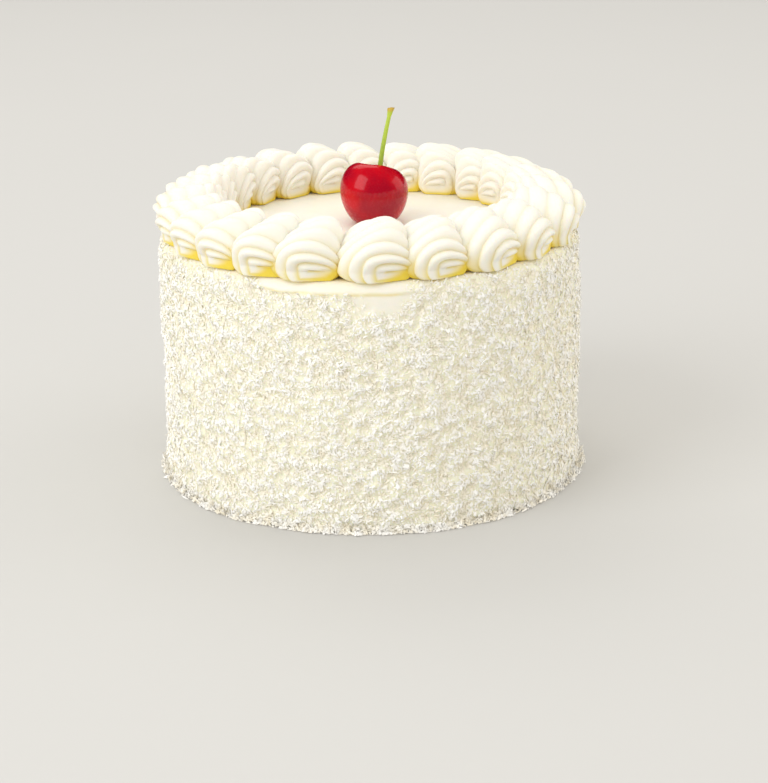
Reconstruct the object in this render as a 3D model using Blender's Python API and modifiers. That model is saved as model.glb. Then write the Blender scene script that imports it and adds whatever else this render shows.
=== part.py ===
"""A tall round coconut cake: a cream-coated drum with coconut flakes on its side, a border of
piped cream shells round the top edge, and one cherry with its stem in the middle.

Metres, +Z up. The origin is the middle of the flat underside, and the front of the cake is -Y.
"""

import math

import bmesh
import bpy
import numpy as np
from mathutils import Matrix, Vector, noise

SEED = 22
GAP = 0.0003
SHARP_ANGLE = math.radians(28.0)

# The cream-coated drum.
CAKE_HEIGHT = 0.0945
CAKE_RADIUS = 0.0812
TOP_RADIUS = 0.0768
SHOULDER_DROP = 0.0058
FOOT_FLARE = 0.0012
CAKE_STEPS = 60
SIDE_ROWS = 4
UNEVENNESS = 0.0012
UNEVENNESS_SIZE = 0.024

# Coconut flakes fused to the side and round the foot.
FLAKE_COUNT = 192
FOOT_FLAKE_COUNT = 18
FLAKE_LENGTH = (0.0058, 0.0092)
FLAKE_WIDTH = (0.0022, 0.0036)
FLAKE_THICKNESS = 0.0010
FLAKE_STAND = 0.0007
FLAKE_LOWEST = 0.0062
FLAKE_HIGHEST = 0.0835

# The border of piped shells. A shell's ribs rise from the foot of its fat head, arch over its
# crown and close round a low eye on each side. Its tail lies under the head of the next shell.
SHELL_GAPS = (17, 17, 17, 17, 18, 18, 18, 13, 17, 14, 16, 14, 16, 15, 14, 15, 14, 15, 15, 14, 14, 14, 20)
SHELL_FIRST = math.radians(-88.6)
SHELL_SIZES = (0.97, 1.03)
SHELL_GAP_SHARE = 0.6
SHELL_RING_RADIUS = 0.0672
SHELL_EYE_HEIGHT = 0.0036
SHELL_WAIST_HEIGHT = 0.0080
SHELL_CROWN_RISE = 0.0106
SHELL_OUTER_WIDTH = 0.0158
SHELL_INNER_WIDTH = 0.0132
SHELL_HEAD_REACH = 0.0134
SHELL_TAIL_REACH = 0.0108
SHELL_CROWN_LEAN = 0.0028
SHELL_CROWN_PUSH = 0.0066
SHELL_FLANK_LEAN = 0.0042
SHELL_TAIL_NARROWING = 0.10
SHELL_TAIL_INSET = 0.0035
SHELL_HEAD_SPREAD = 1.0
SHELL_TAIL_SPREAD = 0.35
SHELL_EYE_SINK = 0.0016
SHELL_SKEW = math.radians(15.0)
SHELL_SKEW_RANGE = 0.07
SHELL_UNDERCUT = math.radians(38.0)
SHELL_EYE_WIDTH = 0.34
SHELL_RIBS = 10
SHELL_RIB_DEPTH = 0.0020
SHELL_CROWDING = 0.16
SHELL_CROWN_RIB_SHARE = 0.45
SHELL_STEPS = 8
SHELL_CUTTER_BANDS = 10
SHELL_CLEARANCE = 0.0010
SHELL_SINK = 0.0015

# The cherry and its stem.
CHERRY_PLACE = Vector((0.0021, 0.0031, 0.0))
CHERRY_HALF_WIDTH = 0.01325
CHERRY_HEIGHT = 0.0254
CHERRY_WAIST_RISE = 0.065
CHERRY_SINK = 0.0011
CHERRY_DIMPLE_DEPTH = 0.0027
CHERRY_DIMPLE_RADIUS = 0.0052
CHERRY_STEPS = 18
CHERRY_ROWS = 10
CHERRY_TURN = math.radians(8.0)
CHERRY_LEAN = math.radians(14.0)
CHERRY_BASE_FULLNESS = 0.78
CHERRY_TOP_FULLNESS = 0.90
CHERRY_LOBE = 0.0010
STEM_ROOT = Vector((0.0024, 0.0, 0.0))
STEM_LEAN = 0.0048
STEM_LENGTH = 0.0226
STEM_RADIUS = 0.00085
STEM_TIP_RADIUS = 0.00155
STEM_POINTS = 8


def clear_scene():
    for thing in list(bpy.data.objects):
        bpy.data.objects.remove(thing, do_unlink=True)


def new_collection(name):
    collection = bpy.data.collections.new(name)
    bpy.context.scene.collection.children.link(collection)
    return collection


def new_material(name, colour, roughness, metallic=0.0):
    material = bpy.data.materials.new(name)
    material.use_nodes = True
    shader = material.node_tree.nodes["Principled BSDF"]
    shader.inputs["Base Color"].default_value = (*colour, 1.0)
    shader.inputs["Roughness"].default_value = roughness
    shader.inputs["Metallic"].default_value = metallic
    material.diffuse_color = (*colour, 1.0)
    return material


def new_object(name, mesh, collection, material=None):
    thing = bpy.data.objects.new(name, mesh)
    collection.objects.link(thing)
    if material:
        mesh.materials.clear()
        mesh.materials.append(material)
    return thing


def mesh_from(builder, name):
    mesh = bpy.data.meshes.new(name)
    builder.to_mesh(mesh)
    builder.free()
    return mesh


def turned(name, profile, steps, collection):
    """A profile of (radius, height) points from top to bottom, turned about Z into a closed mesh."""
    outline = bpy.data.meshes.new(name)
    outline.from_pydata([(r, 0.0, z) for r, z in profile],
                        [(i, i + 1) for i in range(len(profile) - 1)], [])
    thing = new_object(name, outline, collection)
    screw = thing.modifiers.new("turn", "SCREW")
    screw.steps = steps
    screw.render_steps = steps
    screw.use_merge_vertices = True
    screw.merge_threshold = 0.00001
    apply_modifiers(thing)
    return thing


def apply_modifiers(thing):
    graph = bpy.context.evaluated_depsgraph_get()
    mesh = bpy.data.meshes.new_from_object(thing.evaluated_get(graph))
    thing.modifiers.clear()
    thing.data = mesh


def keep_largest_piece(mesh):
    """Drops the loose scraps that a cut leaves beside the piece itself."""
    builder = bmesh.new()
    builder.from_mesh(mesh)
    unseen = set(builder.verts)
    pieces = []
    while unseen:
        piece = {unseen.pop()}
        edge = list(piece)
        while edge:
            corner = edge.pop()
            found = {link.other_vert(corner) for link in corner.link_edges} - piece
            piece |= found
            edge.extend(found)
        unseen -= piece
        pieces.append(piece)
    largest = max(pieces, key=len)
    scraps = [vert for piece in pieces if piece is not largest for vert in piece]
    bmesh.ops.delete(builder, geom=scraps, context="VERTS")
    builder.to_mesh(mesh)
    builder.free()


def cut(thing, cutters, name):
    """Takes each cutter from the thing, and keeps what is left in one piece."""
    for number, cutter in enumerate(cutters):
        difference = thing.modifiers.new(f"{name} {number}", "BOOLEAN")
        difference.operation = "DIFFERENCE"
        difference.object = cutter
    apply_modifiers(thing)
    keep_largest_piece(thing.data)


def as_cutter(thing):
    thing.hide_render = True
    thing.display_type = "WIRE"
    return thing


def cake_profile():
    """The drum's outline from the middle of the top, round the shoulder and down to the underside."""
    points = [(0.0, CAKE_HEIGHT), (TOP_RADIUS * 0.62, CAKE_HEIGHT)]
    for step in range(4):
        turn = math.radians(30.0 * step)
        points.append((TOP_RADIUS + (CAKE_RADIUS - TOP_RADIUS) * math.sin(turn),
                       CAKE_HEIGHT - SHOULDER_DROP * (1 - math.cos(turn))))
    top = CAKE_HEIGHT - SHOULDER_DROP
    for row in range(1, SIDE_ROWS + 1):
        share = row / SIDE_ROWS
        points.append((CAKE_RADIUS + FOOT_FLARE * share ** 6, top * (1 - share)))
    points.append((0.0, 0.0))
    return points


def side_swell(place):
    """How far the hand-spread side swells out at a place."""
    return UNEVENNESS * (noise.noise(place / UNEVENNESS_SIZE) + 0.4)


def make_cake(collection, material):
    cake = turned("cake", cake_profile(), CAKE_STEPS, collection)
    cake.data.materials.append(material)
    for vert in cake.data.vertices:
        outward = Vector((vert.co.x, vert.co.y, 0.0))
        if outward.length > CAKE_RADIUS - 0.001 and vert.co.z < CAKE_HEIGHT - SHOULDER_DROP - GAP:
            vert.co += outward.normalized() * side_swell(vert.co)
    return cake


def flake_mesh(draw):
    """One shred of coconut: a thin three-cornered chip."""
    builder = bmesh.new()
    bmesh.ops.create_cone(builder, cap_ends=True, segments=3, radius1=0.58, radius2=0.46, depth=1.0)
    length = draw.uniform(*FLAKE_LENGTH)
    width = draw.uniform(*FLAKE_WIDTH)
    bmesh.ops.scale(builder, vec=(width, length, FLAKE_THICKNESS), verts=builder.verts)
    return mesh_from(builder, "flake")


def add_flake(flakes, draw, angle, height, lift):
    """Sets a flake into the side at an angle and height, its outer end lifted off the cream."""
    flake = new_object("flake", flake_mesh(draw), flakes)
    spin = Matrix.Rotation(draw.uniform(-math.pi, math.pi), 4, "Z")
    tip = Matrix.Rotation(lift, 4, "X")
    stand = Matrix.Rotation(math.pi / 2, 4, "Y")
    place = Matrix.Translation((CAKE_RADIUS + FLAKE_STAND, 0.0, height))
    flake.matrix_world = Matrix.Rotation(angle, 4, "Z") @ place @ stand @ spin @ tip


def fuse_flakes(cake):
    """Spreads the largest coconut flakes evenly over the side and the foot and joins them to it."""
    draw = np.random.default_rng(SEED)
    flakes = new_collection("flakes")
    golden = math.pi * (3.0 - math.sqrt(5.0))
    for number in range(FLAKE_COUNT):
        share = (number + 0.5) / FLAKE_COUNT
        height = FLAKE_LOWEST + (FLAKE_HIGHEST - FLAKE_LOWEST) * share
        angle = number * golden + draw.uniform(-0.05, 0.05)
        add_flake(flakes, draw, angle, height, draw.uniform(0.3, 0.8))
    for number in range(FOOT_FLAKE_COUNT):
        angle = 2 * math.pi * (number + draw.uniform(-0.3, 0.3)) / FOOT_FLAKE_COUNT
        add_flake(flakes, draw, angle, FLAKE_LOWEST, draw.uniform(0.1, 0.3))
    union = cake.modifiers.new("fused flakes", "BOOLEAN")
    union.operation = "UNION"
    union.operand_type = "COLLECTION"
    union.collection = flakes
    apply_modifiers(cake)
    for flake in list(flakes.objects):
        bpy.data.objects.remove(flake, do_unlink=True)
    bpy.data.collections.remove(flakes)
    keep_largest_piece(cake.data)
    cake.data.shade_smooth()
    cake.data.set_sharp_from_angle(angle=SHARP_ANGLE)


def rib_height(count):
    """How far the ribbed surface stands from the mean one, count ribs from the outer eye."""
    fade = 1.0 - (1.0 - SHELL_CROWN_RIB_SHARE) * math.sin(math.pi * count / SHELL_RIBS) ** 4
    return SHELL_RIB_DEPTH * fade * (0.5 - math.cos(math.pi * count) ** 2)


def shell_point(theta, count, rib, shell):
    """A point of a shell, as (along its piping, outward, up): theta runs along a rib from the tail
    at 0 over the crown to the head at 180 degrees, and count is the ribs from the outer eye, which
    are crowded near the eyes and broad on the crown."""
    share = math.pi * count / SHELL_RIBS
    polar = share - SHELL_CROWDING * math.sin(2 * share) / 2
    across = math.sin(polar)
    arch = max(math.sin(theta), 0.0)
    under = max(-math.sin(theta), 0.0) / math.sin(SHELL_UNDERCUT)
    eye_drop = math.asin((SHELL_WAIST_HEIGHT - SHELL_EYE_HEIGHT) / SHELL_CROWN_RISE)
    turn = -eye_drop + polar / math.pi * (math.pi + 2 * eye_drop)
    width = SHELL_OUTER_WIDTH if math.cos(turn) > 0 else SHELL_INNER_WIDTH
    crown_out = (width + rib) * math.cos(turn)
    crown_up = SHELL_WAIST_HEIGHT + (SHELL_CROWN_RISE + rib) * math.sin(turn)
    crown_out -= SHELL_CROWN_LEAN * max(math.sin(turn), 0.0) ** 2
    width = SHELL_OUTER_WIDTH if math.cos(polar) > 0 else SHELL_INNER_WIDTH
    eye_out = width * math.cos(eye_drop) * math.cos(polar)
    sink = SHELL_EYE_SINK * math.exp(-(across / SHELL_EYE_WIDTH) ** 2)
    sink *= math.copysign(1.0, math.cos(polar))
    tail_share = 0.5 + 0.5 * math.cos(theta)
    reach = SHELL_HEAD_REACH + (SHELL_TAIL_REACH - SHELL_HEAD_REACH) * tail_share
    spread = SHELL_HEAD_SPREAD + (SHELL_TAIL_SPREAD - SHELL_HEAD_SPREAD) * tail_share
    along = (reach * across ** spread + rib * across) * math.cos(theta) * shell["stretch"]
    flank_lean = SHELL_FLANK_LEAN * across * (1.0 - across ** 4)
    along += (SHELL_CROWN_PUSH * across ** 6 - flank_lean) * arch ** 1.5
    outward = eye_out + (crown_out - eye_out) * arch - sink
    outward -= (SHELL_TAIL_INSET + outward) * SHELL_TAIL_NARROWING * tail_share ** 1.4 * across
    sole = SHELL_EYE_HEIGHT * max(0.0, 1.0 - across / SHELL_EYE_WIDTH)
    upward = SHELL_EYE_HEIGHT + (crown_up - SHELL_EYE_HEIGHT) * arch
    upward += (sole - SHELL_EYE_HEIGHT) * under
    return Vector((along, outward, upward)) * shell["size"]


def shell_place(point, shell):
    """Bends a shell's own coordinates round the ring and sets them on the cream."""
    skew = shell["skew"]
    round_ring = point.x * math.cos(skew) + point.y * math.sin(skew)
    radius = SHELL_RING_RADIUS + point.y * math.cos(skew) - point.x * math.sin(skew)
    angle = shell["angle"] + round_ring / SHELL_RING_RADIUS
    return Vector((radius * math.cos(angle), radius * math.sin(angle),
                   CAKE_HEIGHT + GAP + point.z))


def shell_mesh(name, shell, bands, relief, sink=0.0):
    """A ball with its poles at the shell's two eyes, drawn out into the shell's form. The strip of
    faces between its first and its last line of points is the flat sole."""
    builder = bmesh.new()
    bmesh.ops.create_uvsphere(builder, u_segments=SHELL_STEPS, v_segments=bands, radius=1.0)
    for vert in builder.verts:
        step = round(math.atan2(vert.co.y, vert.co.x) / (2 * math.pi) * SHELL_STEPS) % SHELL_STEPS
        share = step / (SHELL_STEPS - 1)
        theta = -SHELL_UNDERCUT + (math.pi + 2 * SHELL_UNDERCUT) * share
        count = math.acos(max(-1.0, min(1.0, vert.co.z))) / math.pi * SHELL_RIBS
        vert.co = shell_place(shell_point(theta, count, relief(count), shell), shell)
        if theta < 0.0 or theta > math.pi:
            vert.co.z -= sink
    builder.normal_update()
    if builder.calc_volume(signed=True) < 0:
        bmesh.ops.reverse_faces(builder, faces=builder.faces)
    bmesh.ops.triangulate(builder, faces=builder.faces)
    return mesh_from(builder, name)


def smooth_height(count):
    """A smooth surface just clear of the ribs, for cutting a neighbour back."""
    return SHELL_RIB_DEPTH * 0.5 + SHELL_CLEARANCE


def shell_settings():
    """Where each shell sits and how it differs from its neighbours."""
    draw = np.random.default_rng(SEED + 1)
    turn = 2 * math.pi / sum(SHELL_GAPS)
    even = sum(SHELL_GAPS) / len(SHELL_GAPS)
    shells = []
    angle = SHELL_FIRST
    for number, gap in enumerate(SHELL_GAPS):
        before = SHELL_GAPS[number - 1]
        shells.append({
            "angle": angle,
            "stretch": 1.0 + SHELL_GAP_SHARE * (0.5 * (before + gap) / even - 1.0),
            "size": draw.uniform(*SHELL_SIZES),
            "skew": SHELL_SKEW + draw.uniform(-SHELL_SKEW_RANGE, SHELL_SKEW_RANGE),
        })
        angle += gap * turn
    return shells


def make_shells(collection, cutters, material):
    """The border: every shell's tail is cut back where the next shell's head lies over it."""
    shells = shell_settings()
    for number, shell in enumerate(shells):
        name = f"shell_{number + 1:02d}"
        mesh = shell_mesh(name, shell, 2 * SHELL_RIBS, rib_height)
        thing = new_object(name, mesh, collection, material)
        after = shells[(number + 1) % len(shells)]
        head_mesh = shell_mesh("head", after, SHELL_CUTTER_BANDS, smooth_height, SHELL_SINK)
        head = new_object(f"{name}_cutter", head_mesh, cutters)
        cut(thing, [as_cutter(head)], "next head")
        thing.data.shade_smooth()
        thing.data.set_sharp_from_angle(angle=SHARP_ANGLE)


def cherry_profile(extra=0.0):
    """The cherry's outline from the floor of its dimple, over its shoulder and down to its base."""
    points = []
    for row in range(CHERRY_ROWS + 1):
        turn = math.pi * row / CHERRY_ROWS
        fullness = CHERRY_TOP_FULLNESS if 2 * row < CHERRY_ROWS else CHERRY_BASE_FULLNESS
        radius = CHERRY_HALF_WIDTH * math.sin(turn) ** fullness
        height = CHERRY_HEIGHT * (0.5 + 0.5 * math.cos(turn) + CHERRY_WAIST_RISE * math.sin(turn) ** 2)
        height -= CHERRY_DIMPLE_DEPTH * math.exp(-(radius / CHERRY_DIMPLE_RADIUS) ** 2) * (turn < 1.6)
        points.append((radius + extra * math.sin(turn), height + extra * math.cos(turn)))
    points[0] = (0.0, points[0][1])
    points[-1] = (0.0, points[-1][1])
    return points


def cherry_stand():
    """Where the cherry's upright form goes, base first, and how far it leans back."""
    place = Matrix.Translation(CHERRY_PLACE + Vector((0.0, 0.0, CAKE_HEIGHT - CHERRY_SINK)))
    return place @ Matrix.Rotation(-CHERRY_LEAN, 4, "X")


def place_cherry(thing):
    """Gives the turned form its two low lobes and sets it, leaning back a little, in the cream."""
    for vert in thing.data.vertices:
        turn = math.atan2(vert.co.y, vert.co.x)
        share = max(0.0, vert.co.z / CHERRY_HEIGHT)
        vert.co.y *= 0.955 - 0.02 * math.cos(2 * turn)
        lobe = math.cos(turn - math.pi) * min(1.0, abs(vert.co.x) / 0.006)
        vert.co.z += CHERRY_LOBE * share * lobe
    thing.data.transform(cherry_stand() @ Matrix.Rotation(CHERRY_TURN, 4, "Z"))


def make_cherry(collection, cutters, material, cake):
    cherry = turned("cherry", cherry_profile(), CHERRY_STEPS, collection)
    cherry.data.materials.append(material)
    place_cherry(cherry)
    cherry.data.shade_smooth()
    socket = as_cutter(turned("cherry_socket", cherry_profile(GAP), CHERRY_STEPS, cutters))
    place_cherry(socket)
    cut(cake, [socket], "cherry socket")
    return cherry


def make_stem(collection, material):
    """A thin stalk that leans and flares to a knob where it was picked from the branch."""
    dimple = CHERRY_HEIGHT - CHERRY_DIMPLE_DEPTH * 0.72
    curve = bpy.data.curves.new("cherry_stem", "CURVE")
    curve.dimensions = "3D"
    curve.bevel_depth = 1.0
    curve.bevel_resolution = 1
    curve.use_fill_caps = True
    line = curve.splines.new("POLY")
    line.points.add(STEM_POINTS - 1)
    for number, point in enumerate(line.points):
        share = number / (STEM_POINTS - 1)
        rise = GAP * 2 + STEM_LENGTH * share
        sway = STEM_LEAN * share ** 1.25
        centre = cherry_stand() @ (STEM_ROOT + Vector((sway, 0.0, dimple + rise)))
        point.co = (*centre, 1.0)
        flare = max(0.0, (share - 0.84) / 0.16)
        point.radius = STEM_RADIUS * (1.15 - 0.3 * share) + (STEM_TIP_RADIUS - STEM_RADIUS) * flare
    stem = bpy.data.objects.new("cherry_stem", curve)
    stem.data.materials.append(material)
    collection.objects.link(stem)


def main():
    clear_scene()
    parts = new_collection("coconut cake")
    cutters = new_collection("cutters")
    cream = new_material("cream", (0.93, 0.90, 0.80), 0.55)
    coconut = new_material("coconut", (0.94, 0.92, 0.86), 0.8)
    skin = new_material("cherry skin", (0.32, 0.006, 0.012), 0.22)
    stalk = new_material("stalk", (0.28, 0.33, 0.05), 0.5)
    cake = make_cake(parts, coconut)
    fuse_flakes(cake)
    make_shells(parts, cutters, cream)
    make_cherry(parts, cutters, skin, cake)
    make_stem(parts, stalk)


main()
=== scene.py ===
import math

import bpy
import numpy as np
from mathutils import Matrix, Vector, noise
from mathutils.bvhtree import BVHTree


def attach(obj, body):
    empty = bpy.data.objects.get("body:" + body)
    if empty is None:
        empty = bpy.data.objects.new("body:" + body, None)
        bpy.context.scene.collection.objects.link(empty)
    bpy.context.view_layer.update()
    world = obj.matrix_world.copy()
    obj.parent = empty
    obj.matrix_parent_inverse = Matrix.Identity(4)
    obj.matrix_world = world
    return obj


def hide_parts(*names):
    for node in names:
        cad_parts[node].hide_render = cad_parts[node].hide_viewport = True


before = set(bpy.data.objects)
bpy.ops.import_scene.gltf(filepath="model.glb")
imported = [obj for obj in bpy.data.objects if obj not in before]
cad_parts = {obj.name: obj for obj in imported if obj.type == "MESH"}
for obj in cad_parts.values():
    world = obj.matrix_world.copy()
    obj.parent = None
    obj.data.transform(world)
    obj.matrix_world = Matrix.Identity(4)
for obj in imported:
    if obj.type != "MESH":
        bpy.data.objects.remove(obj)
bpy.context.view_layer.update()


# The drum: filled sponge layers spread all over with whipped cream. A palette knife has smoothed
# its top, and its side is left a little uneven, because coconut is pressed into it.
CAKE_HEIGHT = 0.0945
CAKE_RADIUS = 0.0812
TOP_RADIUS = 0.0768
SHOULDER_DROP = 0.0058
SIDE_INSET = 0.0004
SIDE_SWELL = 0.0010
SIDE_SWELL_SPAN = 0.024
SIDE_LUMPS = 0.0010
LUMP_SPAN = 0.0040
SMALL_LUMP_SPAN = 0.0019
TOP_RIPPLE = 0.00022
KNIFE_STROKE_LENGTH = 0.021
KNIFE_STROKE_WIDTH = 0.0065
COCONUT_TOP = 0.0938
COCONUT_RAG = 0.0009
LIP_LOWEST = 0.0905
LIP_WAVER = 0.0011
LIP_STEP = 0.0007
LIP_MIDDLE = math.radians(-100.0)
LIP_HALF_SPAN = math.radians(20.0)
BARE_MIDDLE = math.radians(-87.0)
BARE_HALF_SPAN = math.radians(7.5)
BARE_LOWEST = 0.0835
LIP_SHADOW_WIDTH = 0.0006
DRUM_STEPS = 620
DRUM_TOP_RINGS = 30
DRUM_SHOULDER_RINGS = 12
DRUM_SIDE_RINGS = 116
CREAM = (0.905, 0.868, 0.765, 1.0)
CREAM_WARM = (0.885, 0.82, 0.63, 1.0)
# Painted shadow: a golden line under the lip.
LIP_SHADOW_GOLD = (0.87, 0.74, 0.28, 1.0)
# Painted shade: the olive-yellow of the cream in the gaps between the coconut.
PAINTED_GAP_SHADE = (0.93, 0.90, 0.70, 1.0)


class Wire:
    """An output of a material's node. Sums and products of wires and numbers add Math nodes."""

    def __init__(self, tree, socket=None):
        self.tree = tree
        self.socket = socket

    def add(self, kind, settings, inputs, output=0):
        """A new node: its settings first, then its sockets, each from a number, a colour or a wire."""
        node = self.tree.nodes.new(kind)
        for name, value in settings.items():
            setattr(node, name, value)
        for name, value in inputs.items():
            if isinstance(value, Wire):
                self.tree.links.new(value.socket, node.inputs[name])
            else:
                node.inputs[name].default_value = value
        return Wire(self.tree, node.outputs[output])

    def sum(self, operation, left, right):
        return self.add("ShaderNodeMath", {"operation": operation}, {0: left, 1: right})

    def __add__(self, other):
        return self.sum("ADD", self, other)

    def __radd__(self, other):
        return self.sum("ADD", other, self)

    def __sub__(self, other):
        return self.sum("SUBTRACT", self, other)

    def __rsub__(self, other):
        return self.sum("SUBTRACT", other, self)

    def __mul__(self, other):
        return self.sum("MULTIPLY", self, other)

    def __rmul__(self, other):
        return self.sum("MULTIPLY", other, self)

    def between(self, low, high):
        """0 at low and below, rising smoothly to 1 at high and above."""
        return self.add("ShaderNodeMapRange", {"interpolation_type": "SMOOTHSTEP"},
                        {"Value": self, "From Min": low, "From Max": high})

    def blend(self, first, second):
        """The first colour where this wire is 0, and the second where it is 1."""
        return self.add("ShaderNodeMix", {"data_type": "RGBA"}, {0: self, 6: first, 7: second}, 2)

    def mottle(self, size, detail=3.0, roughness=0.55):
        """A cloudy pattern fixed to the object, with patches of about the given size."""
        place = self.add("ShaderNodeTexCoord", {}, {}, 3)
        return self.add("ShaderNodeTexNoise", {}, {"Vector": place, "Scale": 0.5 / size,
                                                   "Detail": detail, "Roughness": roughness})

    def attribute(self, name):
        return self.add("ShaderNodeAttribute", {"attribute_name": name}, {}, 2)

    def relief(self, height, depth):
        """A fine relief, its height from 0 to 1 standing depth metres high."""
        return self.add("ShaderNodeBump", {}, {"Height": height, "Distance": depth, "Strength": 1.0})


def finish(name):
    """A new material, with a wire to build its nodes from and its Principled shader."""
    material = bpy.data.materials.new(name)
    material.use_nodes = True
    return material, Wire(material.node_tree), material.node_tree.nodes["Principled BSDF"]


def coat(shader, start, wires=(), **constants):
    """Sets a shader's sockets: wires carry what varies over the surface, constants the rest."""
    for name, wire in dict(wires).items():
        start.tree.links.new(wire.socket, shader.inputs[name])
    for name, value in constants.items():
        shader.inputs[name.replace("_", " ").title().replace("Ior", "IOR")].default_value = value


def skin(name, rings, material):
    """A smooth closed piece over rings of points that close to a single point at each end."""
    steps = len(rings[0])
    points = [rings[0][0]] + [point for ring in rings[1:-1] for point in ring] + [rings[-1][0]]
    faces = []
    for here in range(steps):
        after = (here + 1) % steps
        faces.append((0, 1 + here, 1 + after))
        for start in range(1, 1 + (len(rings) - 3) * steps, steps):
            faces.append((start + here, start + steps + here, start + steps + after, start + after))
        start = 1 + (len(rings) - 3) * steps
        faces.append((start + here, len(points) - 1, start + after))
    mesh = bpy.data.meshes.new(name)
    mesh.from_pydata(points, [], faces)
    mesh.shade_smooth()
    mesh.materials.append(material)
    piece = bpy.data.objects.new(name, mesh)
    bpy.context.scene.collection.objects.link(piece)
    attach(piece, "root")
    return piece


def smooth(low, high, value):
    """0 up to low and 1 from high on, with a smooth rise between them."""
    share = min(1.0, max(0.0, (value - low) / (high - low)))
    return share * share * (3.0 - 2.0 * share)


def beside(angle, middle):
    """How many radians an angle lies to either side of a middle one."""
    return abs(math.atan2(math.sin(angle - middle), math.cos(angle - middle)))


def lip_height(angle):
    """Where the lower edge of the lip of cream runs: it wavers a little round the cake."""
    return LIP_LOWEST + LIP_WAVER * noise.noise(Vector((math.cos(angle) * 7, math.sin(angle) * 7, 5.0)))


def bare(angle, height):
    """1 where the cream is bare and 0 where coconut hides it, with a ragged border between them."""
    rag = noise.noise(Vector((math.cos(angle) * 26, math.sin(angle) * 26, height * 330)))
    rag += 0.7 * noise.noise(Vector((math.cos(angle) * 70, math.sin(angle) * 70, height * 900)))
    lip = 1.0 - smooth(LIP_HALF_SPAN * 0.9, LIP_HALF_SPAN, beside(angle, LIP_MIDDLE))
    edge = COCONUT_TOP - (COCONUT_TOP - lip_height(angle)) * lip + COCONUT_RAG * rag
    under_lip = smooth(edge - 0.0006, edge + 0.0006, height)
    side = 1.0 - smooth(0.55, 1.25, beside(angle, BARE_MIDDLE) / BARE_HALF_SPAN + 0.5 * rag)
    patch = side * smooth(BARE_LOWEST - 0.0022, BARE_LOWEST + 0.0016, height + 0.0025 * rag)
    return max(under_lip, patch)


def lump(angle, height):
    """The uneven heap of coconut on the side: about 1 on its tufts and -1 in its hollows."""
    place = Vector((math.cos(angle) * CAKE_RADIUS, math.sin(angle) * CAKE_RADIUS, height))
    return noise.noise(place / LUMP_SPAN) + 0.6 * noise.noise(place / SMALL_LUMP_SPAN)


def side_radius(angle, height):
    """How far the cream of the side stands from the cake's axis."""
    place = Vector((math.cos(angle) * CAKE_RADIUS, math.sin(angle) * CAKE_RADIUS, height))
    swell = SIDE_SWELL * (noise.noise(place / SIDE_SWELL_SPAN) + 0.1)
    lip = 1.0 - smooth(LIP_HALF_SPAN, LIP_HALF_SPAN * 1.3, beside(angle, LIP_MIDDLE))
    lowest = lip_height(angle)
    step = LIP_STEP * lip * (smooth(lowest - 0.0004, lowest + 0.0005, height) - 0.5)
    heap = SIDE_LUMPS * lump(angle, height) * (1.0 - bare(angle, height))
    return CAKE_RADIUS - SIDE_INSET + swell + step + heap


def drum_ring(radius, height):
    """One ring of the drum: faintly rippled by the knife on top, uneven on the side."""
    over = smooth(TOP_RADIUS, CAKE_RADIUS, radius)
    ring = []
    for step in range(DRUM_STEPS):
        angle = 2 * math.pi * step / DRUM_STEPS
        out = radius + over * (side_radius(angle, height) - CAKE_RADIUS)
        stroke = Vector((math.cos(angle) * radius / KNIFE_STROKE_LENGTH,
                         math.sin(angle) * radius / KNIFE_STROKE_WIDTH, 2.0))
        rise = TOP_RIPPLE * noise.noise(stroke) * (1.0 - over) if height > CAKE_HEIGHT / 2 else 0.0
        ring.append((math.cos(angle) * out, math.sin(angle) * out, height + rise))
    return ring


outline = [(TOP_RADIUS * step / DRUM_TOP_RINGS, CAKE_HEIGHT) for step in range(DRUM_TOP_RINGS)]
for step in range(DRUM_SHOULDER_RINGS + 1):
    turn = math.pi / 2 * step / DRUM_SHOULDER_RINGS
    outline.append((TOP_RADIUS + (CAKE_RADIUS - TOP_RADIUS) * math.sin(turn),
                    CAKE_HEIGHT - SHOULDER_DROP * (1 - math.cos(turn))))
for step in range(1, DRUM_SIDE_RINGS + 1):
    outline.append((CAKE_RADIUS, (CAKE_HEIGHT - SHOULDER_DROP) * (1 - step / DRUM_SIDE_RINGS)))
outline += [(CAKE_RADIUS * 0.9, 0.0), (0.0, 0.0)]

drum_cream, start, shader = finish("spread cream")
tint = start.mottle(0.012).between(0.35, 0.65)
fine = start.mottle(0.0012, 4.0)
covered = start.attribute("covered")
spread = (tint * 0.35).blend(CREAM, CREAM_WARM)
# Painted shadow: the cream is painted golden along the lower edge of the lip, where the lip overhangs the
# side.
lip_shadowed = (start.attribute("lip_shadow") * 0.7).blend(spread, LIP_SHADOW_GOLD)
# Painted shade: where coconut covers the side, the cream under it is painted olive-yellow, as the shade in
# the gaps between the pieces.
coat(shader, start,
     {"Base Color": covered.blend(lip_shadowed, PAINTED_GAP_SHADE),
      "Roughness": 0.5 + fine * 0.15,
      "Normal": start.relief(fine * (0.25 + covered * 0.75), 0.0005)},
     subsurface_weight=0.25, subsurface_scale=0.004, specular_ior_level=0.35)
shader.inputs["Subsurface Radius"].default_value = (1.0, 0.75, 0.45)

drum = skin("cream_drum", [drum_ring(*place) for place in outline], drum_cream)
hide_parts("cake")
covers = []
lip_shadows = []
for vertex in drum.data.vertices:
    point = vertex.co
    angle = math.atan2(point.y, point.x)
    covers.append((1.0 - bare(angle, point.z)) * smooth(0.075, 0.079, point.xy.length))
    # Painted shadow under the lip: strongest on its lower edge, and fading within a fraction of a
    # millimetre.
    within_lip = 1.0 - smooth(0.8, 1.1, beside(angle, LIP_MIDDLE) / LIP_HALF_SPAN)
    lip_shadows.append(math.exp(-((point.z - lip_height(angle)) / LIP_SHADOW_WIDTH) ** 2) * within_lip)
drum.data.attributes.new("covered", "FLOAT", "POINT").data.foreach_set("value", covers)
drum.data.attributes.new("lip_shadow", "FLOAT", "POINT").data.foreach_set("value", lip_shadows)


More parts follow.
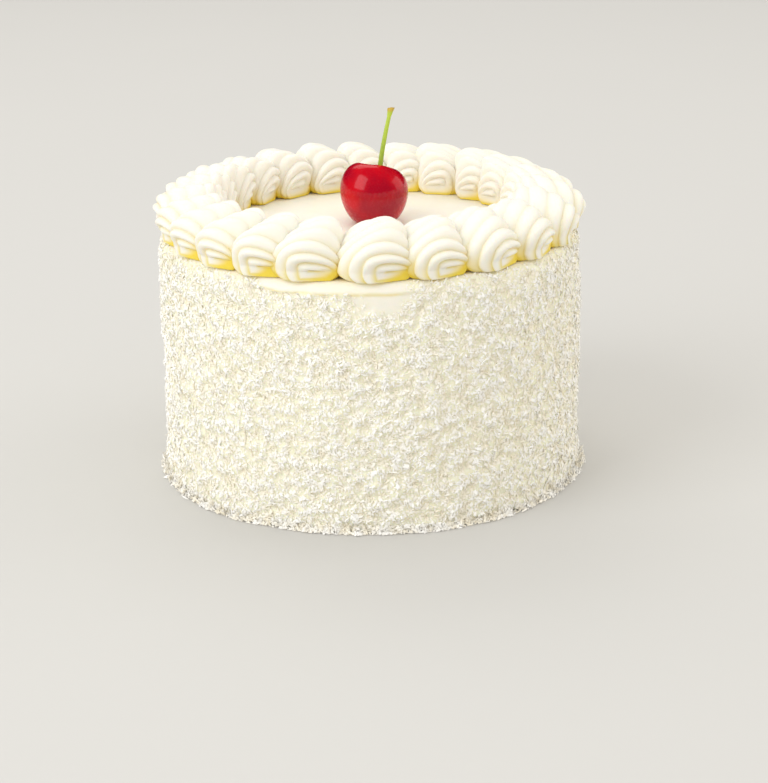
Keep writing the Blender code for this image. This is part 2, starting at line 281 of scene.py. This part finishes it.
# Coconut: dried, shredded coconut pressed into the side by the handful while the cream was soft.
# It is a mix of crumbs, flat chips, shreds and long curled threads, and some has dropped round the foot.
COCONUT_SEED = 7
COCONUT_LOWEST = 0.0004
FOOT_SHARE = 0.08
FOOT_SPILL = 0.0030
FOOT_HEAP = 0.0022
HEAP_DEPTH = 0.0004
SLOPE_SPAN = 0.0004
SLIVER_ROLL = 0.3
COCONUT_WHITE = (0.975, 0.957, 0.918, 1.0)
# Straw serves both: a little random colour, and the painted shade in the hollows between the tufts.
COCONUT_STRAW_AND_SHADE = (0.955, 0.895, 0.75, 1.0)


def scatter(draw, count):
    """Places for coconut all over the side, as angle, height and how far out from the cream it lies.
    It thins out where the cream is bare, and one piece in twelve has dropped to the foot."""
    places = []
    while len(places) < count:
        angle = draw.uniform(0, 2 * math.pi)
        height = draw.uniform(COCONUT_LOWEST, CAKE_HEIGHT)
        spill = 0.0
        if draw.uniform(0.0, 1.0) < FOOT_SHARE:
            spill = FOOT_SPILL * draw.uniform(0.0, 1.0) ** 1.6
            height = COCONUT_LOWEST + FOOT_HEAP * draw.uniform(0.0, 1.0) * (1.0 - spill / FOOT_SPILL)
        if draw.uniform(0.0, 1.0) > bare(angle, height) * 1.08:
            places.append((angle, height, spill))
    return places


def lay(draw, places, length, width, lift):
    """Lays slivers of coconut on the slopes of the side. Returns their middles, their length, width
    and thickness directions at true size, and how deep in a hollow each lies."""
    angle, height, spill = np.array(places).T
    lumps = np.array([lump(a, h) for a, h, _ in places])
    radius = np.array([side_radius(a, h) for a, h, _ in places])
    turn = SLOPE_SPAN / CAKE_RADIUS
    slope_round = (np.array([side_radius(a + turn, h) for a, h, _ in places]) - radius) / SLOPE_SPAN
    slope_up = (np.array([side_radius(a, h + SLOPE_SPAN) for a, h, _ in places]) - radius) / SLOPE_SPAN
    radius += spill
    over = np.clip(height / SHOULDER_DROP - CAKE_HEIGHT / SHOULDER_DROP + 1.0, 0.0, 1.0)
    radius -= (CAKE_RADIUS - TOP_RADIUS) * (1.0 - np.sqrt(1.0 - over * over))
    count = len(places)
    nil = np.zeros(count)
    out = np.stack([np.cos(angle), np.sin(angle), nil], 1)
    level = np.stack([-np.sin(angle), np.cos(angle), nil], 1)
    spin = draw.uniform(0, 2 * math.pi, count)
    raised = draw.uniform(*lift, count)
    slope = slope_round * np.cos(spin) + slope_up * np.sin(spin)
    flat = level * np.cos(spin)[:, None] + out * slope[:, None]
    flat[:, 2] += np.sin(spin)
    flat /= np.linalg.norm(flat, axis=1)[:, None]
    facing = out - level * slope_round[:, None]
    facing[:, 2] -= slope_up
    facing /= np.linalg.norm(facing, axis=1)[:, None]
    along = flat * np.cos(raised)[:, None] + facing * np.sin(raised)[:, None]
    across = np.cross(facing, flat)
    upright = np.cross(along, across)
    roll = draw.uniform(-SLIVER_ROLL, SLIVER_ROLL, count)[:, None]
    across, upright = (across * np.cos(roll) + upright * np.sin(roll),
                       upright * np.cos(roll) - across * np.sin(roll))
    long = draw.uniform(*length, count)
    wide = draw.uniform(*width, count)
    depth = draw.uniform(0.0, 1.0, count)
    stand = HEAP_DEPTH * (1.0 - depth) + np.abs(np.sin(raised)) * long * 0.35
    middle = out * (radius + stand)[:, None]
    middle[:, 2] += height
    hollow = np.clip(0.3 - 0.9 * lumps + 0.3 * depth, 0.0, 1.0)
    return middle, along * long[:, None], across * wide[:, None], upright * wide[:, None], hollow


def coconut_piece(name, draw, rings, faces, hollow):
    """One mesh of many like slivers. Each lies between white and straw: a little of that at random, and
    the rest painted shade, straw the deeper the sliver lies in the hollows between the tufts."""
    count, corners = rings.shape[:2]
    points = rings.reshape(-1, 3)
    points[:, 2] = np.maximum(points[:, 2], 0.0001)
    faces = (np.array(faces)[None] + (np.arange(count) * corners)[:, None, None]).reshape(-1, 3)
    mesh = bpy.data.meshes.new(name)
    mesh.from_pydata(points, [], faces)
    tone_and_shade = mesh.attributes.new("tone_and_shade", "FLOAT", "POINT")
    # Painted shade: most of the mix comes from how deep in a hollow the piece lies, and a little is
    # random.
    own = 0.15 * draw.uniform(0, 1, count) + 0.85 * hollow
    tone_and_shade.data.foreach_set("value", np.repeat(own, corners).astype(np.float32))
    mesh.shade_flat()
    mesh.materials.append(coconut)
    piece = bpy.data.objects.new(name, mesh)
    bpy.context.scene.collection.objects.link(piece)
    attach(piece, "root")
    return piece


def chips(name, draw, count, length, width, thickness, lift):
    """Flat chips: four ragged corners round a slightly thicker middle."""
    middle, along, across, upright, hollow = lay(draw, scatter(draw, count), length, width, lift)
    corners = []
    for turn in (0.0, 0.25, 0.5, 0.75):
        turn = 2 * math.pi * (turn + draw.uniform(-0.07, 0.07, count))[:, None]
        reach = draw.uniform(0.4, 0.62, count)[:, None]
        sag = draw.uniform(-0.16, 0.16, count)[:, None]
        corners.append(middle + reach * (along * np.cos(turn) + across * np.sin(turn)) + upright * sag)
    rise = upright / np.linalg.norm(upright, axis=1)[:, None] * thickness / 2
    rings = np.stack(corners + [middle + rise, middle - rise], 1)
    faces = [(0, 1, 4), (1, 2, 4), (2, 3, 4), (3, 0, 4), (1, 0, 5), (2, 1, 5), (3, 2, 5), (0, 3, 5)]
    return coconut_piece(name, draw, rings, faces, hollow)


def threads(name, draw, count, length, width, lift, bow):
    """Bent threads, three-sided in section and pointed at both ends."""
    middle, along, across, upright, hollow = lay(draw, scatter(draw, count), length, width, lift)
    bend = draw.uniform(-bow, bow, count)[:, None] * np.linalg.norm(along, axis=1)[:, None]
    bend = bend * upright / np.linalg.norm(upright, axis=1)[:, None]
    rings = [middle - along * 0.5 - bend]
    for share in (-0.17, 0.2):
        for side, up in ((-0.5, -0.2), (0.5, -0.3), (0.1, 0.45)):
            rings.append(middle + along * share + across * side + upright * up)
    rings.append(middle + along * 0.5 - bend)
    faces = [(0, 2, 1), (0, 3, 2), (0, 1, 3), (7, 4, 5), (7, 5, 6), (7, 6, 4)]
    for near, far in ((1, 2), (2, 3), (3, 1)):
        faces += [(near, far, far + 3), (near, far + 3, near + 3)]
    return coconut_piece(name, draw, np.stack(rings, 1), faces, hollow)


coconut, start, shader = finish("dried coconut")
# Painted shade: pieces deep in the hollows are painted straw, over a little random variation.
tone_and_shade = start.attribute("tone_and_shade")
grainy = start.mottle(0.0009)
coat(shader, start,
     {"Base Color": tone_and_shade.between(0.1, 0.95).blend(COCONUT_WHITE, COCONUT_STRAW_AND_SHADE),
      "Roughness": 0.55 + grainy * 0.2},
     subsurface_weight=0.0, specular_ior_level=0.4)

draw = np.random.default_rng(COCONUT_SEED)
chips("coconut_crumbs", draw, 24500, (0.0005, 0.0011), (0.0005, 0.0008), 0.00022, (0.0, 0.30))
chips("coconut_grains", draw, 24500, (0.0007, 0.0013), (0.0006, 0.0010), 0.00022, (0.0, 0.30))
chips("coconut_chips", draw, 24500, (0.0009, 0.0017), (0.0007, 0.0012), 0.00018, (0.0, 0.25))
chips("coconut_flakes", draw, 16000, (0.0015, 0.0025), (0.0008, 0.0014), 0.00016, (0.0, 0.22))
threads("coconut_shreds", draw, 6000, (0.0016, 0.0028), (0.0004, 0.0007), (0.0, 0.25), 0.08)
threads("coconut_curls", draw, 1200, (0.0028, 0.0044), (0.0004, 0.0006), (0.0, 0.22), 0.12)


# The border: whipped cream piped in shells from a large open star nozzle, one after another round
# the top edge. Each is pressed out fat, pulled down to a tail, and covered by the next one's head.
SHELL_GAPS = (17, 17, 17, 17, 18, 18, 18, 13, 17, 14, 16, 14, 16, 15, 14, 15, 14, 15, 15, 14, 14, 14, 20)
SHELL_GAP_SHARE = 0.6
SHELL_FIRST = math.radians(-88.6)
SHELL_RING_RADIUS = 0.0672
SHELL_EYE_HEIGHT = 0.0036
SHELL_WAIST_HEIGHT = 0.0080
SHELL_CROWN_RISE = 0.0106
SHELL_OUTER_WIDTH = 0.0158
SHELL_INNER_WIDTH = 0.0132
SHELL_HEAD_REACH = 0.0134
SHELL_TAIL_REACH = 0.0108
SHELL_CROWN_LEAN = 0.0028
SHELL_CROWN_PUSH = 0.0066
SHELL_FLANK_LEAN = 0.0042
SHELL_TAIL_NARROWING = 0.10
SHELL_TAIL_INSET = 0.0035
SHELL_HEAD_SPREAD = 1.0
SHELL_TAIL_SPREAD = 0.35
SHELL_EYE_SINK = 0.0016
SHELL_SKEW = math.radians(15.0)
SHELL_UNDERCUT = math.radians(38.0)
SHELL_EYE_WIDTH = 0.34
SHELL_RIBS = 10
SHELL_RIB_DEPTH = 0.0020
SHELL_CROWDING = 0.16
SHELL_CROWN_RIB_SHARE = 0.45
SHELL_BANDS = 176
SHELL_STEPS = 60
SHELL_SEED = 23
SHELL_SIZES = (0.97, 1.03)
SHELL_SKEW_SPREAD = 0.07
SHELL_STAND = 0.0002
SHELL_WAVER = 0.00025
SHELL_WAVER_SPAN = 0.0045
SHELL_FINE_WAVER = 0.00006
SHELL_FINE_WAVER_SPAN = 0.0012
CREST_IVORY = (0.88, 0.85, 0.76, 1.0)
# The next two colours are painted shade: yellow between the ribs, and gold in the hollows where the shells
# meet.
VALLEY_SHADE_YELLOW = (0.80, 0.665, 0.20, 1.0)
POCKET_SHADE_GOLD = (0.875, 0.655, 0.065, 1.0)


def rib_height(count):
    """How far a rounded ridge or the sharp valley beside it stands out; they are lower over the
    crown. Count is the number of ribs from the outer eye."""
    fade = 1.0 - (1.0 - SHELL_CROWN_RIB_SHARE) * math.sin(math.pi * count / SHELL_RIBS) ** 4
    return SHELL_RIB_DEPTH * fade * (abs(math.sin(math.pi * count)) ** 0.85 - 0.5)


def rib_turn(step):
    """Theta at a step along a rib: it begins and ends under the shell, where the sides turn in."""
    return -SHELL_UNDERCUT + (math.pi + 2 * SHELL_UNDERCUT) * step / (SHELL_STEPS - 1)


def shell_point(theta, count, rib, shell):
    """A point of a shell, as (along its piping, outward, up). Theta runs along a rib, from the tail
    at 0 over the crown to the head at 180 degrees, and count across the ribs from the outer eye."""
    share = math.pi * count / SHELL_RIBS
    polar = share - SHELL_CROWDING * math.sin(2 * share) / 2
    across = math.sin(polar)
    arch = max(math.sin(theta), 0.0)
    under = max(-math.sin(theta), 0.0) / math.sin(SHELL_UNDERCUT)
    eye_drop = math.asin((SHELL_WAIST_HEIGHT - SHELL_EYE_HEIGHT) / SHELL_CROWN_RISE)
    turn = -eye_drop + polar / math.pi * (math.pi + 2 * eye_drop)
    width = SHELL_OUTER_WIDTH if math.cos(turn) > 0 else SHELL_INNER_WIDTH
    crown_out = (width + rib) * math.cos(turn)
    crown_up = SHELL_WAIST_HEIGHT + (SHELL_CROWN_RISE + rib) * math.sin(turn)
    crown_out -= SHELL_CROWN_LEAN * max(math.sin(turn), 0.0) ** 2
    width = SHELL_OUTER_WIDTH if math.cos(polar) > 0 else SHELL_INNER_WIDTH
    eye_out = width * math.cos(eye_drop) * math.cos(polar)
    sink = math.copysign(SHELL_EYE_SINK * math.exp(-(across / SHELL_EYE_WIDTH) ** 2), math.cos(polar))
    tail_share = 0.5 + 0.5 * math.cos(theta)
    reach = SHELL_HEAD_REACH + (SHELL_TAIL_REACH - SHELL_HEAD_REACH) * tail_share
    spread = SHELL_HEAD_SPREAD + (SHELL_TAIL_SPREAD - SHELL_HEAD_SPREAD) * tail_share
    along = (reach * across ** spread + rib * across) * math.cos(theta) * shell["stretch"]
    flank = SHELL_FLANK_LEAN * across * (1.0 - across ** 4)
    along += (SHELL_CROWN_PUSH * across ** 6 - flank) * arch ** 1.5
    outward = eye_out + (crown_out - eye_out) * arch - sink
    outward -= (SHELL_TAIL_INSET + outward) * SHELL_TAIL_NARROWING * tail_share ** 1.4 * across
    sole = SHELL_EYE_HEIGHT * max(0.0, 1.0 - across / SHELL_EYE_WIDTH)
    upward = SHELL_EYE_HEIGHT + (crown_up - SHELL_EYE_HEIGHT) * arch
    upward += (sole - SHELL_EYE_HEIGHT) * under
    return Vector((along, outward, upward)) * shell["size"]


def shell_place(point, shell):
    """Bends a shell's own coordinates round the ring and sets them on the cream."""
    skew = shell["skew"]
    round_ring = point.x * math.cos(skew) + point.y * math.sin(skew)
    radius = SHELL_RING_RADIUS + point.y * math.cos(skew) - point.x * math.sin(skew)
    angle = shell["angle"] + round_ring / SHELL_RING_RADIUS
    height = CAKE_HEIGHT + SHELL_STAND + point.z
    return Vector((radius * math.cos(angle), radius * math.sin(angle), height))


piped_cream, start, shader = finish("piped cream")
# Painted shade: gold where the shells meet and at their foot, and yellow between the ribs.
pocket_shade = start.attribute("pocket_shade").between(0.05, 0.95)
valley = start.attribute("valley").between(0.1, 1.0)
cloud = start.mottle(0.004)
fine = start.mottle(0.0007, 4.0)
coat(shader, start,
     {"Base Color": pocket_shade.blend(valley.blend(CREST_IVORY, VALLEY_SHADE_YELLOW), POCKET_SHADE_GOLD),
      "Roughness": 0.42 + cloud * 0.15,
      "Normal": start.relief(fine, 0.00008)},
     subsurface_weight=0.25, subsurface_scale=0.004, specular_ior_level=0.4)
shader.inputs["Subsurface Radius"].default_value = (1.0, 0.75, 0.45)

draw = np.random.default_rng(SHELL_SEED)
turn = 2 * math.pi / sum(SHELL_GAPS)
even = sum(SHELL_GAPS) / len(SHELL_GAPS)
angle = SHELL_FIRST
shells = []
for number, gap in enumerate(SHELL_GAPS):
    shell = {
        "angle": angle,
        "stretch": (1.0 - SHELL_GAP_SHARE) + SHELL_GAP_SHARE * 0.5 * (SHELL_GAPS[number - 1] + gap) / even,
        "size": draw.uniform(*SHELL_SIZES),
        "skew": SHELL_SKEW + draw.uniform(-SHELL_SKEW_SPREAD, SHELL_SKEW_SPREAD),
    }
    angle += gap * turn
    rings = []
    for band in range(SHELL_BANDS + 1):
        count = SHELL_RIBS * band / SHELL_BANDS
        ring = []
        for step in range(SHELL_STEPS):
            point = shell_place(shell_point(rib_turn(step), count, rib_height(count), shell), shell)
            waver = SHELL_WAVER * noise.noise(point / SHELL_WAVER_SPAN)
            waver += SHELL_FINE_WAVER * noise.noise(point / SHELL_FINE_WAVER_SPAN)
            out_and_up = Vector((point.x, point.y, 0.0)).normalized() + Vector((0, 0, 1))
            ring.append(point + out_and_up * waver * 0.5)
        rings.append(ring)
    shells.append(skin(f"piped_shell_{number + 1:02d}", rings, piped_cream))
    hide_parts(f"shell_{number + 1:02d}")

# Painted shade: the cream is painted golden where a shell meets its neighbours, along its tail and at the
# cream below, and painted yellow down between its ribs, most low on the shell and less on its inner side.
trees = []
for shell in shells:
    faces = [polygon.vertices for polygon in shell.data.polygons]
    trees.append(BVHTree.FromPolygons([vertex.co for vertex in shell.data.vertices], faces))
for number, shell in enumerate(shells):
    beside_it = (trees[number - 1], trees[(number + 1) % len(trees)])
    pocket_shades = []
    valley_shades = []
    for index, vertex in enumerate(shell.data.vertices):
        gap = min(tree.find_nearest(vertex.co)[3] for tree in beside_it)
        rise = max(0.0, vertex.co.z - CAKE_HEIGHT)
        inner = 1.0 - smooth(-0.004, 0.004, math.hypot(vertex.co.x, vertex.co.y) - SHELL_RING_RADIUS)
        tail = smooth(0.2, 1.0, math.cos(rib_turn((index - 1) % SHELL_STEPS))) * (1.0 - inner)
        between = 1.25 * math.exp(-gap / 0.0030 - rise / 0.0060)
        foot = (0.2 + 0.8 * inner) * math.exp(-rise / 0.0013)
        pocket_shades.append(between + foot + 0.9 * tail * math.exp(-rise / 0.0030))
        count = SHELL_RIBS * min(SHELL_BANDS, (index - 1) // SHELL_STEPS + 1) / SHELL_BANDS
        shaded = (0.25 + 0.75 * math.exp(-rise / 0.009)) * (1.0 - 0.6 * inner)
        valley_shades.append((0.5 - rib_height(count) / SHELL_RIB_DEPTH) ** 0.7 * shaded)
    shell.data.attributes.new("pocket_shade", "FLOAT", "POINT").data.foreach_set("value", pocket_shades)
    shell.data.attributes.new("valley", "FLOAT", "POINT").data.foreach_set("value", valley_shades)


# The cherry: one large sweet cherry, washed and set into the cream in the middle of the top. Its
# skin is dark, tight and glossy over juicy flesh, with a dimple where the stem goes in.
CHERRY_SINK = 0.0011
CHERRY_PLACE = Vector((0.0021, 0.0031, CAKE_HEIGHT - CHERRY_SINK))
CHERRY_HALF_WIDTH = 0.01325
CHERRY_HEIGHT = 0.0254
CHERRY_WAIST_RISE = 0.065
CHERRY_TOP_FULLNESS = 0.90
CHERRY_BASE_FULLNESS = 0.78
CHERRY_DEPTH_SHARE = 0.955
DIMPLE_DEPTH = 0.0027
DIMPLE_RADIUS = 0.0052
CHERRY_TURN = math.radians(8.0)
CHERRY_LEAN = math.radians(14.0)
CHERRY_LOBE = 0.0010
CHERRY_STAND = Matrix.Translation(CHERRY_PLACE) @ Matrix.Rotation(-CHERRY_LEAN, 4, "X")
CHERRY_ROWS = 72
CHERRY_STEPS = 96
CHERRY_DARK = (0.33, 0.0, 0.014, 1.0)
CHERRY_BRIGHT = (0.55, 0.0, 0.008, 1.0)

cherry_skin, start, shader = finish("cherry skin")
flesh = start.mottle(0.007, 2.0)
specks = start.mottle(0.0006, 2.0)
coat(shader, start,
     {"Base Color": flesh.between(0.35, 0.7).blend(CHERRY_DARK, CHERRY_BRIGHT),
      "Roughness": 0.22 + specks * 0.1},
     coat_weight=0.5, coat_roughness=0.05, specular_ior_level=0.12)

rings = []
for row in range(CHERRY_ROWS + 1):
    turn = math.pi * row / CHERRY_ROWS
    fullness = CHERRY_TOP_FULLNESS if 2 * row < CHERRY_ROWS else CHERRY_BASE_FULLNESS
    radius = CHERRY_HALF_WIDTH * math.sin(turn) ** fullness if 0 < row < CHERRY_ROWS else 0.0
    height = CHERRY_HEIGHT * (0.5 + 0.5 * math.cos(turn) + CHERRY_WAIST_RISE * math.sin(turn) ** 2)
    if turn < math.pi / 2:
        height -= DIMPLE_DEPTH * math.exp(-(radius / DIMPLE_RADIUS) ** 2)
    ring = []
    for step in range(CHERRY_STEPS):
        side = 2 * math.pi * step / CHERRY_STEPS
        point = Vector((radius * math.cos(side), radius * math.sin(side), height))
        point.y *= CHERRY_DEPTH_SHARE - 0.02 * math.cos(2 * side)
        lobe = math.cos(side - math.pi) * min(1.0, abs(point.x) / 0.006)
        point.z += CHERRY_LOBE * height / CHERRY_HEIGHT * lobe
        point *= 1.0 + 0.012 * noise.noise(point / 0.011)
        ring.append(CHERRY_STAND @ Matrix.Rotation(CHERRY_TURN, 4, "Z") @ point)
    rings.append(ring)
cherry = skin("sweet_cherry", rings, cherry_skin)
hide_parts("cherry")


# The stem: thin, green and a little fibrous, still in the cherry. It leans, and ends in the small
# woody knob with which it left the tree.
STEM_ROOT = Vector((0.0024, 0.0, CHERRY_HEIGHT - DIMPLE_DEPTH))
STEM_LENGTH = 0.0234
STEM_LEAN = 0.0048
STEM_RADIUS = 0.00085
STEM_TIP_RADIUS = 0.00155
STEM_FLARE_START = 0.84
STEM_KNOB_EDGE = 0.985
STEM_ROWS = 64
STEM_STEPS = 20
STEM_GREEN = (0.20, 0.34, 0.02, 1.0)
STEM_LIME = (0.50, 0.62, 0.06, 1.0)
STEM_BROWN = (0.55, 0.36, 0.05, 1.0)

stalk, start, shader = finish("cherry stem")
height = start.attribute("height")
fibre = start.mottle(0.0008)
green = (fibre * 0.7 + height.between(0.0, 0.9) * 0.5).blend(STEM_GREEN, STEM_LIME)
coat(shader, start,
     {"Base Color": height.between(0.9, STEM_KNOB_EDGE).blend(green, STEM_BROWN),
      "Roughness": 0.4 + fibre * 0.2,
      "Normal": start.relief(fibre, 0.0001)},
     specular_ior_level=0.4)

rings = []
heights = []
for row in range(STEM_ROWS + 1):
    share = row / STEM_ROWS
    sway = STEM_LEAN * share ** 1.25
    centre = CHERRY_STAND @ (STEM_ROOT + Vector((sway, 0.0, STEM_LENGTH * share)))
    flare = max(0.0, (share - STEM_FLARE_START) / (1.0 - STEM_FLARE_START))
    girth = STEM_RADIUS * (1.15 - 0.3 * share) + (STEM_TIP_RADIUS - STEM_RADIUS) * flare
    if share > STEM_KNOB_EDGE:
        girth *= 0.72
    if row in (0, STEM_ROWS):
        girth = 0.0
    ring = []
    for step in range(STEM_STEPS):
        side = 2 * math.pi * step / STEM_STEPS
        knots = noise.noise(Vector((side, 9.0, share * 40)))
        rough = 1.0 + 0.07 * math.cos(3 * side + 4 * share) + 0.25 * flare * knots
        ring.append(centre + Vector((math.cos(side), math.sin(side), 0.0)) * girth * rough)
    rings.append(ring)
    heights += [share] * (1 if row in (0, STEM_ROWS) else STEM_STEPS)
stem = skin("cherry_stalk", rings, stalk)
stem.data.attributes.new("height", "FLOAT", "POINT").data.foreach_set("value", heights)
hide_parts("cherry_stem")


# The studio: a pale seamless floor, one broad soft window light from the left, a weak skylight high
# at the back, as weak a reflector on the right, and a pale room that fills the shadows.
FLOOR_TONE = (0.60, 0.588, 0.565, 1.0)
FLOOR_SHADE = (0.58, 0.568, 0.545, 1.0)
LIT_POINT = (0.0, 0.0, 0.06)

floor_finish, start, shader = finish("pale floor")
grain = start.mottle(0.05)
coat(shader, start,
     {"Base Color": (grain * 0.3).blend(FLOOR_TONE, FLOOR_SHADE),
      "Roughness": 0.7 + grain * 0.1})
floor_mesh = bpy.data.meshes.new("floor")
floor_mesh.from_pydata([(-4, -2, 0), (4, -2, 0), (4, 7, 0), (-4, 7, 0)], [], [(0, 1, 2, 3)])
floor_mesh.materials.append(floor_finish)
floor = bpy.data.objects.new("floor", floor_mesh)
floor.location.z = -0.0002
bpy.context.scene.collection.objects.link(floor)


def soft_light(name, place, size, power, colour):
    """A wide soft light that faces the middle of the cake."""
    lamp = bpy.data.lights.new(name, "AREA")
    lamp.shape = "RECTANGLE"
    lamp.size, lamp.size_y = size
    lamp.energy = power
    lamp.color = colour
    light = bpy.data.objects.new(name, lamp)
    light.location = place
    light.rotation_euler = (Vector(LIT_POINT) - Vector(place)).to_track_quat("-Z", "Y").to_euler()
    bpy.context.scene.collection.objects.link(light)


soft_light("window", (-1.40, -1.00, 1.20), (1.3, 1.7), 17.0, (0.93, 0.965, 1.0))
soft_light("skylight", (-0.35, 1.10, 1.35), (1.2, 0.9), 4.5, (1.0, 0.99, 0.96))
soft_light("reflector", (1.5, 0.35, 0.55), (1.2, 1.0), 4.5, (1.0, 0.98, 0.95))

room = bpy.data.worlds.new("pale room")
room.use_nodes = True
room.node_tree.nodes["Background"].inputs["Color"].default_value = (1.0, 0.985, 0.95, 1.0)
room.node_tree.nodes["Background"].inputs["Strength"].default_value = 1.04
bpy.context.scene.world = room
room.cycles_visibility.glossy = False
bpy.context.scene.view_settings.view_transform = "Standard"

CAMERA_PLACE = Vector((0.00271, -0.800, 0.30248))
CAMERA_YAW, CAMERA_PITCH, CAMERA_ROLL = 0.0027, 0.3319, -0.0139
FOCAL_PIXELS = 2128.1
PICTURE_HEIGHT = 783
SENSOR_WIDTH = 36.0
ahead = Vector((math.sin(CAMERA_YAW) * math.cos(CAMERA_PITCH),
                math.cos(CAMERA_YAW) * math.cos(CAMERA_PITCH),
                -math.sin(CAMERA_PITCH)))
right = Vector((math.cos(CAMERA_YAW), -math.sin(CAMERA_YAW), 0.0))
above = right.cross(ahead)
right, above = (right * math.cos(CAMERA_ROLL) + above * math.sin(CAMERA_ROLL),
                above * math.cos(CAMERA_ROLL) - right * math.sin(CAMERA_ROLL))
camera_data = bpy.data.cameras.new("camera")
camera_data.sensor_width = SENSOR_WIDTH
camera_data.lens = FOCAL_PIXELS / PICTURE_HEIGHT * SENSOR_WIDTH
camera_data.clip_start = 0.05
camera = bpy.data.objects.new("camera", camera_data)
facing = Matrix((right, above, -ahead)).transposed()
camera.matrix_world = Matrix.Translation(CAMERA_PLACE) @ facing.to_4x4()
bpy.context.scene.collection.objects.link(camera)
bpy.context.scene.camera = camera
